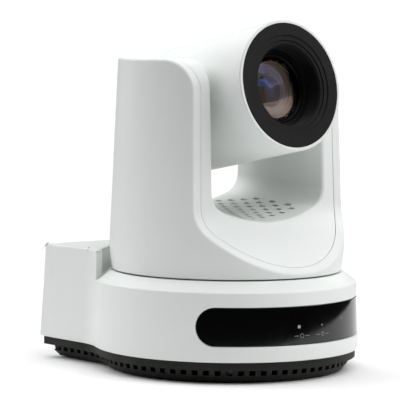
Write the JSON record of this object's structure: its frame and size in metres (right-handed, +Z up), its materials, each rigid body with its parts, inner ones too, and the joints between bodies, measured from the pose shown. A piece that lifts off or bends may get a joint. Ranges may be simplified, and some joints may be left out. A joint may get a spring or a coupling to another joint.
{
  "type": "pan tilt zoom camera",
  "caption": "Desktop conference camera: a round base with a rear block, a two-armed yoke that pans and a barrel head that tilts.",
  "frame": {"origin": "centre of the tripod thread on the pan axis, at the level of the rubber feet", "axes": "+Z up along the pan axis, lens looks along -Y when pan is 0, +X across the camera to its left"},
  "size_m": [0.142, 0.159, 0.1854],
  "materials": {
    "white_plastic": "satin moulded",
    "black_plastic": "fine matt",
    "dark_brown_plastic": "matt",
    "window_plastic": "polished, dark",
    "lens_glass": "coated",
    "clear_plastic": "clear",
    "rubber_black": "matt",
    "belt_rubber": "matt",
    "steel": "zinc plated",
    "brass_insert": "turned",
    "alloy": "die cast",
    "black_alloy": "black anodised",
    "panel_paint": "fine texture",
    "board_green": "solder mask",
    "socket_metal": "plated",
    "bearing_plastic": "self-lubricating",
    "sensor_glass": "polished"
  },
  "bodies": {
    "base": {"base_shell": "white_plastic", "base_plate": "dark_brown_plastic", "tripod_insert": "brass_insert", "rubber_feet": "rubber_black", "base_screws": "steel", "ir_window": "window_plastic", "indicator_lights": "clear_plastic", "ir_receivers": "sensor_glass", "front_board": "board_green", "base_chassis": "alloy", "chassis_screws": "steel", "pan_bearing": "bearing_plastic", "pan_motor": "steel", "main_board": "board_green", "rear_panel": "panel_paint", "lan_socket": "socket_metal", "hdmi_socket": "socket_metal", "usb_socket": "socket_metal", "serial_socket": "black_plastic", "audio_socket": "black_plastic", "power_socket": "black_plastic", "switch_body": "black_plastic", "pan_belt": "belt_rubber"},
    "yoke": {"pan_pulley": "alloy", "turntable": "alloy", "turntable_screws": "steel", "yoke_outer_cover": "white_plastic", "yoke_inner_cover": "white_plastic", "cover_screws": "steel", "tilt_frame": "steel", "tilt_bearings": "bearing_plastic", "tilt_motor": "steel", "tilt_belt": "belt_rubber", "drive_board": "board_green"},
    "head": {"head_front_shell": "white_plastic", "head_rear_cap": "white_plastic", "front_bezel": "black_plastic", "front_lens_ring": "black_alloy", "front_glass": "lens_glass", "lens_barrel": "black_plastic", "head_frame": "alloy", "trunnion_left": "white_plastic", "trunnion_right": "white_plastic", "tilt_pulley": "alloy", "guide_rods": "steel", "iris_housing": "black_plastic", "sensor_holder": "black_plastic", "image_sensor": "sensor_glass", "sensor_board": "board_green", "heat_sink": "alloy"},
    "pan_pinion": {"pan_motor_pulley": "brass_insert"},
    "tilt_pinion": {"tilt_motor_pulley": "brass_insert"},
    "zoom_group": {"zoom_carrier": "black_plastic", "zoom_lens": "lens_glass"},
    "focus_group": {"focus_carrier": "black_plastic", "focus_lens": "lens_glass"},
    "iris_upper": {"iris_blade_upper": "black_plastic"},
    "iris_lower": {"iris_blade_lower": "black_plastic"},
    "filter": {"filter_slide": "sensor_glass"},
    "rocker": {"power_rocker": "black_plastic"}
  },
  "joints": [
    {"name": "pan", "type": "hinge", "parent": "base", "child": "yoke", "pos_m": [0, 0, 0.05], "axis": [0, 0, 1], "range_deg": [-170, 170]},
    {"name": "tilt", "type": "hinge", "parent": "yoke", "child": "head", "pos_m": [0, 0, 0.1423], "axis": [-1, 0, 0], "range_deg": [-40.9, 79.1]},
    {"name": "pan_drive", "type": "hinge", "parent": "base", "child": "pan_pinion", "pos_m": [0.037, 0.036, 0.042], "axis": [0, 0, 1], "range_deg": [-850, 850]},
    {"name": "tilt_drive", "type": "hinge", "parent": "yoke", "child": "tilt_pinion", "pos_m": [0.0485, 0, 0.0685], "axis": [-1, 0, 0], "range_deg": [-122.7, 237.3]},
    {"name": "zoom", "type": "slide", "parent": "head", "child": "zoom_group", "axis": [0, -0.982, 0.1891], "range_m": [-0.006, 0.008]},
    {"name": "focus", "type": "slide", "parent": "head", "child": "focus_group", "axis": [0, -0.982, 0.1891], "range_m": [-0.003, 0.003]},
    {"name": "iris", "type": "slide", "parent": "head", "child": "iris_upper", "axis": [0, 0.1891, 0.982], "range_m": [-0.0025, 0.003]},
    {"name": "iris_pair", "type": "slide", "parent": "head", "child": "iris_lower", "axis": [0, 0.1891, 0.982], "range_m": [-0.003, 0.0025]},
    {"name": "filter_shift", "type": "slide", "parent": "head", "child": "filter", "axis": [1, 0, 0], "range_m": [0, 0.008]},
    {"name": "power_switch", "type": "hinge", "parent": "base", "child": "rocker", "pos_m": [-0.013, 0.0825, 0.0335], "axis": [1, 0, 0], "range_deg": [-12, 12]}
  ],
  "couplings": [
    {"joint": "pan_drive", "follows": "pan", "ratio": 5},
    {"joint": "tilt_drive", "follows": "tilt", "ratio": 3},
    {"joint": "iris_pair", "follows": "iris", "ratio": -1}
  ]
}
